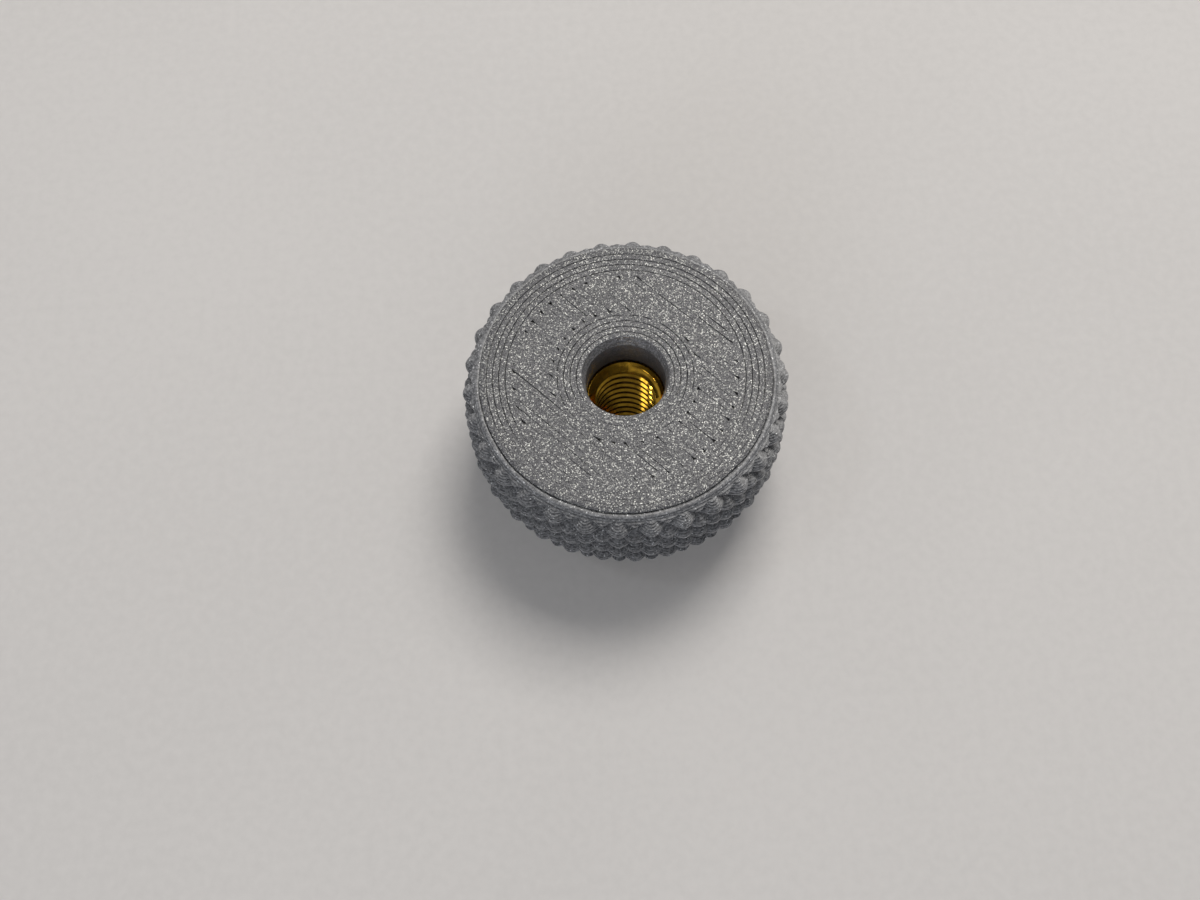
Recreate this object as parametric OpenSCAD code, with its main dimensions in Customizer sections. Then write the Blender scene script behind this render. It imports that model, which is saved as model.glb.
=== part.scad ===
// Thumb nut for an air cleaner stud: a printed knob with a knurled head and a plain hub,
// and a brass insert pressed into it from the hub end.
// The origin is the centre of the hub's end face, and +Z runs up the axis to the flat face.

/* [Head] */
// Diameter over the tips of the knurl
head_d = 27; // [25:0.1:40]
// Height of the knurled head
head_h = 8; // [5:0.1:16]
// Distance from the tips of the knurl in to the narrow ledge, which is the second printed layer
ledge_inset = 1.1; // [0.9:0.05:1.6]
// How far the ledge stands out round the flat face, which is the first printed layer
ledge_w = 0.4; // [0.1:0.05:1]
// Height of one printed layer
layer_h = 0.3; // [0.15:0.05:0.35]

/* [Knurl] */
// Number of bumps in one row round the head
knurl_count = 30; // [16:1:40]
// Height from one bump to the next in the same column
knurl_rise = 2.18; // [1.6:0.02:4]
// Depth of the grooves between the bumps
knurl_depth = 0.9; // [0.4:0.05:1.1]
// Distance from the flat face down to the tips of the first full row
knurl_start = 1.84; // [1.8:0.02:3]
// Fullness of the bumps: a low value is flat-topped, and 1 is a plain wave
knurl_crown = 0.6; // [0.3:0.05:1]
// Share of the full depth that the clipped half row at the rim keeps
knurl_rim_share = 0.25; // [0:0.05:0.5]

/* [Hub] */
// Diameter of the hub
hub_d = 16; // [12:0.5:22]
// Height of the hub under the head
hub_h = 6; // [3:0.1:20]
// Chamfer round the hub's end face
hub_chamfer = 0.6; // [0.2:0.1:1.2]

/* [Stud hole] */
// Diameter of the clearance hole
hole_d = 6.6; // [6.4:0.1:7]
// Diameter of the hole's flared mouth in the flat face
mouth_d = 7.2; // [7:0.1:8]
// Depth over which the mouth narrows to the hole
mouth_depth = 1.1; // [0.4:0.1:2]

/* [Insert] */
// Diameter over the teeth of the brass insert
insert_d = 8; // [7.8:0.1:9.5]
// Length of the insert
insert_l = 10; // [8.4:0.1:13]
// How far the insert's lower end lies inside the hub's end face
insert_sink = 0.1; // [0:0.05:0.5]
// Diameter of the insert's smooth nose
nose_d = 7.6; // [7.45:0.05:7.7]
// Diameter of the insert's neck between its two toothed bands
neck_d = 7; // [6.9:0.1:7.4]
// Length of each toothed band
band_l = 3.2; // [1:0.1:3.8]
// Length of the neck between the bands
neck_l = 1.6; // [0.4:0.1:3]
// Number of teeth round each band
tooth_count = 36; // [20:1:48]
// Height of the teeth on the bands
tooth_h = 0.25; // [0.1:0.05:0.4]
// Clearance between the insert and its pocket, on the radius
insert_gap = 0.02; // [0.01:0.01:0.1]
// Nominal diameter of the thread
thread_d = 6; // [4:0.5:6.5]
// Pitch of the thread
thread_pitch = 1; // [0.5:0.05:1.5]
// Diameter of the countersinks at both ends of the thread
sink_d = 6.4; // [6.1:0.1:6.8]

/* [Hidden] */

overlap = 1;                            // how far a joined or cut shape runs on past a face
round_sides = 96;                       // sides of a drawn circle
cells = 6;                              // facets across one bump, each way
columns = knurl_count * cells;          // facets round the head
row_step = knurl_rise / cells;          // height of one row of facets
total_h = hub_h + head_h;               // from the hub's end face to the flat face
ledge_r = head_d / 2 - ledge_inset;     // radius of the ledge
face_r = ledge_r - ledge_w;             // radius of the flat face
knurl_top = total_h - knurl_start + knurl_rise / 2;     // upper corners of the first full row
ledge_low = total_h - 2 * layer_h;      // foot of the ledge
knurl_lead = 0.1;                       // least height of the slope from the ledge to the knurl
knurl_z = min(knurl_top, ledge_low - knurl_lead);       // where the first facets of the knurl lie
least_row = 0.25;                       // least share of a row's height that the last row may have
row_count = ceil((knurl_z - hub_h) / row_step - least_row);     // rows down to the underside
shoulder_z = insert_sink + insert_l;    // where the insert's nose seats
minor_d = thread_d - thread_pitch;      // bore of the thread
sink_depth = (sink_d - minor_d) / 2;    // depth of a 45 degree countersink
neck_z = insert_sink + band_l;          // lower end of the neck
nose_z = neck_z + neck_l + band_l;      // lower end of the nose
tooth_tip = 0.1;                        // half a tooth's tip, as a share of the step between teeth
tooth_foot = 0.28;                      // half a tooth's foot, as a share of the same step

// Height of a knurl bump, from 0 in the grooves to 1 at a tip. across and down count bumps
// from a tip of the first full row, round the head and down its side.
function bump(across, down) =
    let (u = across + down, v = across - down)
    let (share = round(u) - round(v) < 0 ? knurl_rim_share : 1)
    share * pow(abs(cos(180 * u) * cos(180 * v)), knurl_crown);

// Radius of the head at a column of facets and a height.
function head_r(column, z) =
    head_d / 2 - knurl_depth * (1 - bump(column / cells, (knurl_top - z) / knurl_rise - 0.5));

// Heights of the rings of points, from the ledge's upper edge down to the underside.
ring_z = concat(
    [total_h - layer_h, ledge_low],
    [for (row = [0 : row_count - 1]) knurl_z - row * row_step],
    [hub_h]
);

// One ring of points; the first two rings are the round ledge.
function ring(i) = [
    for (column = [0 : columns - 1])
        let (r = i < 2 ? ledge_r : head_r(column, ring_z[i]), a = 360 * column / columns)
        [r * cos(a), r * sin(a), ring_z[i]]
];

// The two triangles of one cell, split along the groove that runs through it.
function cell_faces(i, column) =
    let (next = (column + 1) % columns)
    let (a = i * columns + column, b = i * columns + next)
    let (c = a + columns, d = b + columns)
    (floor(max(i - 2, 0) / (cells / 2)) + floor(column / (cells / 2))) % 2 == 0
        ? [[a, b, d], [a, d, c]]
        : [[a, b, c], [b, d, c]];

// The knurled side of the head, closed by flat ends.
module knurled_side() {
    rings = len(ring_z);
    polyhedron(
        points = [for (i = [0 : rings - 1]) each ring(i)],
        faces = concat(
            [[for (column = [columns - 1 : -1 : 0]) column]],
            [for (i = [0 : rings - 2]) for (column = [0 : columns - 1]) each cell_faces(i, column)],
            [[for (column = [0 : columns - 1]) (rings - 1) * columns + column]]
        ),
        convexity = 6
    );
}

// The first printed layer: a plain disc that runs down into the head.
module face_disc() {
    translate([0, 0, hub_h + head_h / 2])
        cylinder(r = face_r, h = head_h / 2, $fn = round_sides);
}

// The hub, with its chamfered end, run on up into the head.
module hub() {
    r = hub_d / 2;
    rotate_extrude($fn = round_sides)
        polygon([
            [0, 0], [r - hub_chamfer, 0], [r, hub_chamfer],
            [r, hub_h + head_h / 3], [0, hub_h + head_h / 3]
        ]);
}

// The space that the insert fills: a wide bore round each band and a ridge in its neck.
module insert_pocket() {
    band_r = insert_d / 2 + insert_gap;
    neck_r = neck_d / 2 + insert_gap;
    nose_r = nose_d / 2 + insert_gap;
    translate([0, 0, -overlap])
        cylinder(r = band_r, h = neck_z + overlap, $fn = round_sides);
    translate([0, 0, neck_z - overlap])
        cylinder(r = neck_r, h = neck_l + 2 * overlap, $fn = round_sides);
    translate([0, 0, neck_z + neck_l])
        cylinder(r = band_r, h = band_l, $fn = round_sides);
    translate([0, 0, nose_z - overlap])
        cylinder(r = nose_r, h = shoulder_z - nose_z + overlap, $fn = round_sides);
}

// The clearance hole above the insert, with its flared mouth in the flat face.
module stud_hole() {
    flare = (mouth_d - hole_d) / mouth_depth;
    translate([0, 0, shoulder_z - overlap])
        cylinder(d = hole_d, h = total_h - shoulder_z + 2 * overlap, $fn = round_sides);
    translate([0, 0, total_h - mouth_depth])
        cylinder(
            d1 = hole_d,
            d2 = mouth_d + flare * overlap,
            h = mouth_depth + overlap,
            $fn = round_sides
        );
}

// One band of straight teeth, from its own foot upwards.
module toothed_band() {
    tip = insert_d / 2;
    root = tip - tooth_h;
    step = 360 / tooth_count;
    linear_extrude(height = band_l)
        polygon([
            for (tooth = [0 : tooth_count - 1])
                for (corner = [[root, -tooth_foot], [tip, -tooth_tip], [tip, tooth_tip], [root, tooth_foot]])
                    let (a = step * (tooth + corner[1]))
                    [corner[0] * cos(a), corner[0] * sin(a)]
        ]);
}

// The cut of one countersink, from its mouth upwards.
module countersink() {
    translate([0, 0, -overlap])
        cylinder(
            d1 = sink_d + 2 * overlap,
            d2 = minor_d,
            h = sink_depth + overlap,
            $fn = round_sides
        );
}

// The printed knob, all in one piece.
module knob() {
    color([0.50, 0.51, 0.55])
        difference() {
            union() {
                knurled_side();
                face_disc();
                hub();
            }
            stud_hole();
            insert_pocket();
        }
}

// The brass insert, with two toothed bands, a neck, a smooth nose and its tapped bore.
module threaded_insert() {
    color([0.85, 0.62, 0.20])
        difference() {
            union() {
                translate([0, 0, insert_sink])
                    toothed_band();
                translate([0, 0, neck_z])
                    cylinder(d = neck_d, h = neck_l, $fn = round_sides);
                translate([0, 0, neck_z + neck_l])
                    toothed_band();
                translate([0, 0, nose_z])
                    cylinder(d = nose_d, h = shoulder_z - nose_z, $fn = round_sides);
            }
            translate([0, 0, insert_sink - overlap])
                cylinder(d = minor_d, h = insert_l + 2 * overlap, $fn = round_sides);
            translate([0, 0, insert_sink])
                countersink();
            translate([0, 0, shoulder_z])
                mirror([0, 0, 1])
                    countersink();
        }
}

knob();
threaded_insert();
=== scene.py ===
"""Looks of a printed thumb nut with a pressed-in brass insert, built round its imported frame.

Sizes are in millimetres, as the nut's maker would give them. Each piece is modelled at that
size and scaled to metres when it is finished. Angles are in degrees, colours are linear.
"""

import logging
import math
from collections.abc import Callable, Iterable
from dataclasses import dataclass, field
from enum import Enum

import bpy
from mathutils import Matrix, Vector, noise


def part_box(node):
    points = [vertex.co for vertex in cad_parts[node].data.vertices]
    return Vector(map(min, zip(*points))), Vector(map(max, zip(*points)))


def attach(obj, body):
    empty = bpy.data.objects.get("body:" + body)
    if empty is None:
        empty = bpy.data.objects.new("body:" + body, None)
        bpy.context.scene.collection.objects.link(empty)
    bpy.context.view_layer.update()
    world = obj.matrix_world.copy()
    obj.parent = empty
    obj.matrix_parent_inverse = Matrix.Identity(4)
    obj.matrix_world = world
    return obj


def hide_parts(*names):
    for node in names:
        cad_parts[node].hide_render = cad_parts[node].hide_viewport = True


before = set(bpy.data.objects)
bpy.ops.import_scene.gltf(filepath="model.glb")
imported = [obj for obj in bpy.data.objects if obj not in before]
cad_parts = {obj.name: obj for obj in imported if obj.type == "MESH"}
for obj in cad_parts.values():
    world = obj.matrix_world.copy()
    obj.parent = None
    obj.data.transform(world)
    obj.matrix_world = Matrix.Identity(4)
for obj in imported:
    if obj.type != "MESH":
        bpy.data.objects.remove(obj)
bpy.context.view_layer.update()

LOG = logging.getLogger("thumb_nut")
MM = 0.001                       # metres in a millimetre
NEAR = 1e-4                      # two points nearer than this are one, in millimetres
BODY = "root"
HEAD_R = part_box("knob")[1].x / MM
TOTAL_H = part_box("knob")[1].z / MM
INSERT_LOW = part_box("threaded_insert")[0].z / MM
INSERT_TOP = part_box("threaded_insert")[1].z / MM
INSERT_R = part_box("threaded_insert")[1].x / MM

Profile = list[tuple[float, float]]
Span = tuple[float, float]
Triple = tuple[float, float, float]
Colour = tuple[float, float, float, float]


class Facing(Enum):
    """Which way a printed face looks."""

    UP = 1
    DOWN = -1


class End(Enum):
    """One of the two ends of the insert."""

    LOW = "low"
    HIGH = "high"


# ---------------------------------------------------------------- modelling by operator


def clear_selection() -> None:
    """Leave edit mode and deselect every object."""
    if bpy.context.object and bpy.context.object.mode != "OBJECT":
        bpy.ops.object.mode_set(mode="OBJECT")
    bpy.ops.object.select_all(action="DESELECT")


def pick(piece: bpy.types.Object) -> None:
    """Select one object alone and make it active.

    Args:
        piece: The object.
    """
    clear_selection()
    piece.select_set(True)
    bpy.context.view_layer.objects.active = piece


def edit_all(piece: bpy.types.Object) -> None:
    """Enter edit mode on one mesh, with all of it selected.

    Args:
        piece: The mesh object.
    """
    pick(piece)
    bpy.ops.object.mode_set(mode="EDIT")
    bpy.ops.mesh.select_all(action="SELECT")


def pick_points(piece: bpy.types.Object, wanted: Callable[[Vector], bool]) -> None:
    """Select some of a mesh's points and stay in edit mode.

    Args:
        piece: The mesh object.
        wanted: Says of a point's place whether it is selected.
    """
    pick(piece)
    bpy.ops.object.mode_set(mode="EDIT")
    bpy.ops.mesh.select_mode(type="VERT")
    bpy.ops.mesh.select_all(action="DESELECT")
    bpy.ops.object.mode_set(mode="OBJECT")
    for point in piece.data.vertices:
        point.select = wanted(point.co)
    bpy.ops.object.mode_set(mode="EDIT")


def name_active(name: str) -> bpy.types.Object:
    """Name the active object and its mesh.

    Args:
        name: The name.

    Returns:
        The active object.
    """
    piece = bpy.context.object
    piece.name = name
    piece.data.name = name
    return piece


def mend(piece: bpy.types.Object, merge: bool = True) -> None:
    """Merge a mesh's doubled points and turn its faces outwards.

    Args:
        piece: The mesh object, which is left in object mode.
        merge: False where the doubled points stay.
    """
    edit_all(piece)
    if merge:
        bpy.ops.mesh.remove_doubles(threshold=NEAR)
    bpy.ops.mesh.normals_make_consistent(inside=False)
    bpy.ops.object.mode_set(mode="OBJECT")


def draw_outline(name: str, outline: Profile) -> bpy.types.Object:
    """Draw a line in the XZ plane, one extruded point after another.

    Args:
        name: Name of the new object.
        outline: Radius and height of each point.

    Returns:
        The object, in edit mode with its last point selected.
    """
    clear_selection()
    bpy.ops.mesh.primitive_plane_add(size=1, location=(0, 0, 0))
    piece = name_active(name)
    bpy.ops.object.mode_set(mode="EDIT")
    bpy.ops.mesh.merge(type="CENTER")
    radius, height = outline[0]
    bpy.ops.transform.translate(value=(radius, 0, height))
    for next_radius, next_height in outline[1:]:
        step = (next_radius - radius, 0, next_height - height)
        bpy.ops.mesh.extrude_region_move(TRANSFORM_OT_translate={"value": step})
        radius, height = next_radius, next_height
    return piece


def lathe(name: str, outline: Profile, steps: int) -> bpy.types.Object:
    """Spin an outline once round the Z axis.

    Args:
        name: Name of the new object.
        outline: Radius and height of each point.
        steps: Number of faces round the axis.

    Returns:
        The turned shape, in object mode, with its normals pointing out.
    """
    piece = draw_outline(name, outline)
    bpy.ops.mesh.select_all(action="SELECT")
    bpy.ops.mesh.spin(steps=steps, angle=math.tau, center=(0, 0, 0), axis=(0, 0, 1))
    mend(piece)
    return piece


def join(pieces: list[bpy.types.Object]) -> bpy.types.Object:
    """Join meshes into one.

    Args:
        pieces: The mesh objects.

    Returns:
        The first of them, which then holds them all.
    """
    clear_selection()
    for piece in pieces:
        piece.select_set(True)
    bpy.context.view_layer.objects.active = pieces[0]
    bpy.ops.object.join()
    return pieces[0]


def bridge(piece: bpy.types.Object, wanted: Callable[[Vector], bool]) -> None:
    """Bridge two open rings of points with faces.

    Args:
        piece: The mesh object.
        wanted: Says of a point's place whether it lies on one of the rings.
    """
    pick_points(piece, wanted)
    bpy.ops.mesh.bridge_edge_loops()
    bpy.ops.object.mode_set(mode="OBJECT")


def apply_modifier(piece: bpy.types.Object, kind: str, **settings: object) -> None:
    """Add a modifier to a mesh and apply it.

    Args:
        piece: The mesh object.
        kind: Blender's name for the kind of modifier.
        **settings: Values of the modifier's own settings.
    """
    pick(piece)
    bpy.ops.object.modifier_add(type=kind)
    modifier = piece.modifiers[-1]
    for setting, value in settings.items():
        setattr(modifier, setting, value)
    bpy.ops.object.modifier_apply(modifier=modifier.name)


def cut_away(piece: bpy.types.Object, cutter: bpy.types.Object) -> None:
    """Cut one solid out of another and delete the cutter."""
    apply_modifier(piece, "BOOLEAN", operation="DIFFERENCE", solver="EXACT", object=cutter)
    bpy.data.objects.remove(cutter)


def finish_mesh(piece: bpy.types.Object, sharp: float) -> None:
    """Scale a piece to metres, with its place in its mesh, and smooth its gentle edges.

    Args:
        piece: The mesh object, in millimetres.
        sharp: Edges sharper than this angle stay sharp, in degrees.
    """
    pick(piece)
    bpy.ops.transform.resize(value=(MM, MM, MM), center_override=(0, 0, 0))
    bpy.ops.object.transform_apply(location=True, rotation=True, scale=True)
    bpy.ops.object.shade_smooth_by_angle(angle=math.radians(sharp))


def flat_curve(name: str) -> bpy.types.Object:
    """Add an empty curve that lies in the XY plane.

    Args:
        name: Name of the new object and its curve.

    Returns:
        The curve's object.
    """
    curve = bpy.data.curves.new(name, "CURVE")
    curve.dimensions = "2D"
    holder = bpy.data.objects.new(name, curve)
    bpy.context.scene.collection.objects.link(holder)
    return holder


def add_line(holder: bpy.types.Object, points: Profile) -> bpy.types.Spline:
    """Add one line of straight stretches to a flat curve.

    Args:
        holder: The curve's object.
        points: X and Y of each point.

    Returns:
        The new line.
    """
    line = holder.data.splines.new("POLY")
    line.points.add(len(points) - 1)
    for point, (x, y) in zip(line.points, points):
        point.co = (x, y, 0, 1)
    return line


def wander(*place: float) -> float:
    """Return a smooth random number from about -1 to 1 that belongs to a place."""
    return noise.noise(Vector((*place, 0, 0)[:3]))


def clamp(value: float, low: float = 0, high: float = 1) -> float:
    """Return a value, kept between two limits."""
    return min(high, max(low, value))


# ---------------------------------------------------------------- the printed knob


@dataclass(frozen=True)
class Bead:
    """The line of plastic that the nozzle lays."""

    width: float = 0.55          # from the middle of one line to the middle of the next
    height: float = 0.3
    groove_half: float = 0.055   # from the middle of a groove to where the bead is flat
    groove_depth: float = 0.18
    lip: float = 0.03            # from the middle of a groove to the bead's rounded edge
    shoulder: float = 0.02       # how far the bead's rounded edge has dropped there
    cleft: float = 0.015         # half the width of the narrow bottom of a groove
    cleft_depth: float = 0.144   # depth at which that narrow bottom starts

    def flank(self) -> Profile:
        """Return one side of a groove, as distances from its middle and depths."""
        return [(self.groove_half, 0), (self.lip, self.shoulder), (self.cleft, self.cleft_depth)]

    def groove(self, at: float) -> Profile:
        """Return the outline of a groove in a face.

        Args:
            at: Place of the groove's middle along the face.

        Returns:
            Each point's distance along the face and its depth below it.
        """
        left = [(at - across, depth) for across, depth in self.flank()]
        right = [(at + across, depth) for across, depth in reversed(self.flank())]
        return [*left, (at, self.groove_depth), *right]


@dataclass
class Infill:
    """The straight lines that fill a printed face between its rings."""

    name: str
    inner_r: float
    outer_r: float
    bead: Bead
    height: float                # of the face that it lies in
    facing: Facing = Facing.UP
    angle: float = 135           # direction of the lines
    first_gap: float = -4.74     # distance from the axis of one gap between two joined pairs
    last_share: float = 0.25     # of a line's width, by which the last one may pass the ring
    under: float = 0.3           # how far the ends run on under the rings
    below: float = 0.02          # how far a line reaches down past the bead's height
    pull: float = 0.2            # how far a pair of lines leans together where it is joined
    pull_length: float = 0.45    # length over which it does so
    pull_parts: int = 4          # straight stretches in that length
    usual_pull: float = 0.75     # share of the lean that an average joint has
    pull_spread: float = 1.1     # and how far that share changes from joint to joint
    joint_steps: Triple = (1.7, 3.1, 7.3)    # in the noise, between two gaps, ends and rings
    steepest: float = 0.7        # lines that meet a ring more squarely than this lean fully
    shallowest: float = 0.35     # lines that meet a ring less squarely don't lean
    sunk: float = 0.005          # how far the lines lie below the rings
    usual_swell: float = 1.15    # a wider line closes the grooves between the lines
    swell_spread: float = 0.9    # how far that changes
    swell_length: float = 9.0    # length over which a line's width changes
    swell_across: float = 0.9    # how far across the lines one width carries
    most_swell: float = 1.2
    least_swell: float = 1.0
    stretch: float = 0.9         # longest straight stretch of a line
    least_parts: int = 4         # fewest stretches in a line

    def lines(self) -> Iterable[tuple[int, float]]:
        """Number the lines that fit inside the outer ring.

        Yields:
            Each line's number and its distance from the axis.
        """
        start = self.first_gap + self.bead.width / 2
        reach = self.outer_r + self.bead.width * self.last_share
        low = math.ceil((-reach - start) / self.bead.width)
        high = math.floor((reach - start) / self.bead.width)
        for number in range(low, high + 1):
            yield number, start + self.bead.width * number

    def runs(self, odd: bool) -> Iterable[Profile]:
        """Lay out every second line, in two parts where it meets the inner ring.

        Args:
            odd: Which half of the lines is wanted.

        Yields:
            Each line's points, along and across the direction of the lines.
        """
        near_r, far_r = self.inner_r - self.under, self.outer_r + self.under
        for number, line in self.lines():
            if (number % 2 == 1) != odd:
                continue
            far = math.sqrt(far_r**2 - line**2)
            if abs(line) >= near_r:
                yield self.course(number, line, -far, far)
            else:
                near = math.sqrt(near_r**2 - line**2)
                yield self.course(number, line, -far, -near)
                yield self.course(number, line, near, far)

    def course(self, number: int, line: float, start: float, stop: float) -> Profile:
        """Return the points of one line.

        Args:
            number: The line's number.
            line: Its distance from the axis.
            start: Where it starts, along its direction.
            stop: Where it stops.

        Returns:
            The points, along and across the direction of the lines.
        """
        parts = max(self.least_parts, math.ceil((stop - start) / self.stretch))
        places = [start + (stop - start) * part / parts for part in range(parts + 1)]
        for ring_r, side in ((self.inner_r, 1), (self.outer_r, -1)):
            if abs(line) < ring_r:
                edge = math.sqrt(ring_r**2 - line**2)
                for end in (-edge, edge):
                    step = side * math.copysign(self.pull_length, end) / self.pull_parts
                    places += [end + step * part for part in range(self.pull_parts + 1)]
        places = sorted({round(place, 3) for place in places if start <= place <= stop})
        return [(place, line + self.lean(number, line, place)) for place in places]

    def lean(self, number: int, line: float, place: float) -> float:
        """Return how far a line leans towards its partner near a ring.

        Args:
            number: The line's number.
            line: Its distance from the axis.
            place: The place along its direction.

        Returns:
            The distance across the direction of the lines.
        """
        total = 0.0
        gap_step, end_step, ring_step = self.joint_steps
        for count, ring_r in enumerate((self.inner_r, self.outer_r)):
            if abs(line) >= ring_r:
                continue
            edge = math.sqrt(ring_r**2 - line**2)
            away = (edge - abs(place)) * (1 if count else -1)
            square = (edge / ring_r - self.shallowest) / (self.steepest - self.shallowest)
            share = clamp(1 - away / self.pull_length) * clamp(square)
            side = 1 if place > 0 else 0
            partner = 1 if (number + side + count) % 2 else -1
            gap = number + (0 if partner > 0 else 1)
            change = wander(gap_step * gap, end_step * side + ring_step * count)
            strength = clamp(self.usual_pull + self.pull_spread * change)
            total += partner * self.pull * share * strength
        return total

    def swell(self, along: float, across: float) -> float:
        """Return the line's width at a place, as a share of its usual width.

        Args:
            along: The place along the direction of the lines.
            across: The place across it.

        Returns:
            The share.
        """
        change = wander(along / self.swell_length, across / self.swell_across)
        width = self.usual_swell + self.swell_spread * change
        return clamp(width, self.least_swell, self.most_swell)

    def section(self) -> bpy.types.Object:
        """Draw the bead's cross-section.

        Returns:
            The curve's object.
        """
        half = self.bead.width / 2
        side = [(half - across, -depth) for across, depth in self.bead.flank()]
        side += [(half, -self.bead.groove_depth), (half, -self.bead.height - self.below)]
        holder = flat_curve(self.name + "_section")
        loop = add_line(holder, side + [(-across, down) for across, down in reversed(side)])
        loop.use_cyclic_u = True
        return holder

    def sweep(self, odd: bool) -> bpy.types.Object:
        """Sweep the bead along every second line.

        Args:
            odd: Which half of the lines is swept.

        Returns:
            The mesh object, flat in the XY plane.
        """
        section = self.section()
        piece = flat_curve(self.name)
        piece.data.bevel_mode = "OBJECT"
        piece.data.bevel_object = section
        piece.data.use_fill_caps = True
        for points in self.runs(odd):
            line = add_line(piece, points)
            for point, place in zip(line.points, points):
                point.radius = self.swell(*place)
        pick(piece)
        bpy.ops.object.convert(target="MESH")
        bpy.data.objects.remove(section)
        return piece

    def build(self) -> bpy.types.Object:
        """Lay all the lines, every second one a hair lower.

        Returns:
            The mesh object, in its place.
        """
        even, odd = self.sweep(odd=False), self.sweep(odd=True)
        odd.data.transform(Matrix.Translation((0, 0, -self.sunk)))
        piece = join([even, odd])
        mend(piece)
        turn = Matrix.Rotation(math.radians(self.angle), 4, "Z")
        if self.facing is Facing.DOWN:
            turn = Matrix.Rotation(math.pi, 4, "X") @ turn
        level = self.height - self.facing.value * self.sunk
        piece.data.transform(Matrix.Translation((0, 0, level)) @ turn)
        return piece


@dataclass(frozen=True)
class LayerRing:
    """One ring of points round the knurl, at or beside the groove between two layers."""

    z: float
    above: float                 # middle of the layer that ends at the ring
    below: float                 # middle of the layer that starts there
    inset: float                 # how far the ring lies in from both layers


@dataclass
class Knurl:
    """The diamond knurl round the head, laid down in printed layers."""

    rim_z: float                 # where the knurl starts, under the ledge
    foot_z: float                # the head's underside
    layer: float
    count: int = 30              # bumps in one row
    rise: float = 2.18           # from one bump to the next in the same column
    depth: float = 0.9
    start: float = 1.84          # from the flat face down to the tips of the first full row
    crown: float = 0.6           # a low value is flat-topped, and 1 is a plain wave
    rim_r: float = 12.43         # where the slope that clips the bumps at the rim starts
    rim_slope: float = 1.6       # how much wider that slope grows for its height
    half_slope: float = 1.0      # the same for the half row between them
    half_crown: float = 2.5      # fullness of that half row's bumps
    reach: float = 0.8           # the first row is drawn out this much to meet the ledge
    columns: int = 12            # faces across one bump
    notch: float = 0.11          # depth of the groove between two layers
    notch_half: float = 0.045    # from the groove to where a layer has its full width
    edge_drop: float = 0.006     # how far a layer's rounded edge has drawn in there
    foot_drop: float = 0.012     # the same at the head's underside

    def bump(self, across: float, down: float, crown: float) -> float:
        """Return the height of the bumps' surface, from 0 in a groove to 1 at a tip."""
        u, v = across + down, across - down
        return abs(math.cos(math.pi * u) * math.cos(math.pi * v)) ** crown

    def radius(self, across: float, z: float) -> float:
        """Return the head's radius at a place on its side.

        Args:
            across: Distance round the head from a column of tips, in bumps.
            z: Height.

        Returns:
            The radius, clipped near the rim.
        """
        top = TOTAL_H - self.start + self.rise / 2
        down = (top - z) / self.rise - 0.5
        down *= self.reach if down < 0 else 1
        in_half_row = round(across + down) - round(across - down) < 0
        slope, crown = self.rim_slope, self.crown
        if in_half_row:
            slope, crown = self.half_slope, self.half_crown
        radius = HEAD_R - self.depth * (1 - self.bump(across, down, crown))
        return min(radius, self.rim_r + slope * (self.rim_z - z))

    def rings(self) -> list[LayerRing]:
        """List the rings of points from the rim down to the head's underside.

        Returns:
            Two rings for each layer, and one for each groove between two layers.
        """
        layers = round((self.rim_z - self.foot_z) / self.layer)
        thick = (self.rim_z - self.foot_z) / layers
        found = []
        for count in range(layers):
            top = self.rim_z - count * thick
            middle, above = top - thick / 2, top + thick / 2
            if count:
                found.append(LayerRing(top, above, middle, self.notch))
            for z in (top - self.notch_half, top - thick + self.notch_half):
                found.append(LayerRing(z, middle, middle, self.edge_drop))
        last = self.foot_z + thick / 2
        found.append(LayerRing(self.foot_z, last, last, self.foot_drop))
        return found

    def build(self) -> bpy.types.Object:
        """Shape one bump's width of the side, then spin copies of it round the head.

        Returns:
            The mesh object, open at both ends.
        """
        clear_selection()
        rings = self.rings()
        rows = len(rings) - 1
        bpy.ops.mesh.primitive_grid_add(x_subdivisions=self.columns, y_subdivisions=rows, size=2)
        side = name_active("knurl")
        for point in side.data.vertices:
            across = point.co.x / 2
            ring = rings[round((1 - point.co.y) / 2 * rows)]
            radius = min(self.radius(across, ring.above), self.radius(across, ring.below))
            radius -= ring.inset
            turn = math.tau * across / self.count
            point.co = (radius * math.cos(turn), radius * math.sin(turn), ring.z)
        edit_all(side)
        bpy.ops.mesh.spin(
            steps=self.count - 1,
            dupli=True,
            angle=math.tau * (self.count - 1) / self.count,
            center=(0, 0, 0),
            axis=(0, 0, 1),
        )
        mend(side)
        return side


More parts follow.
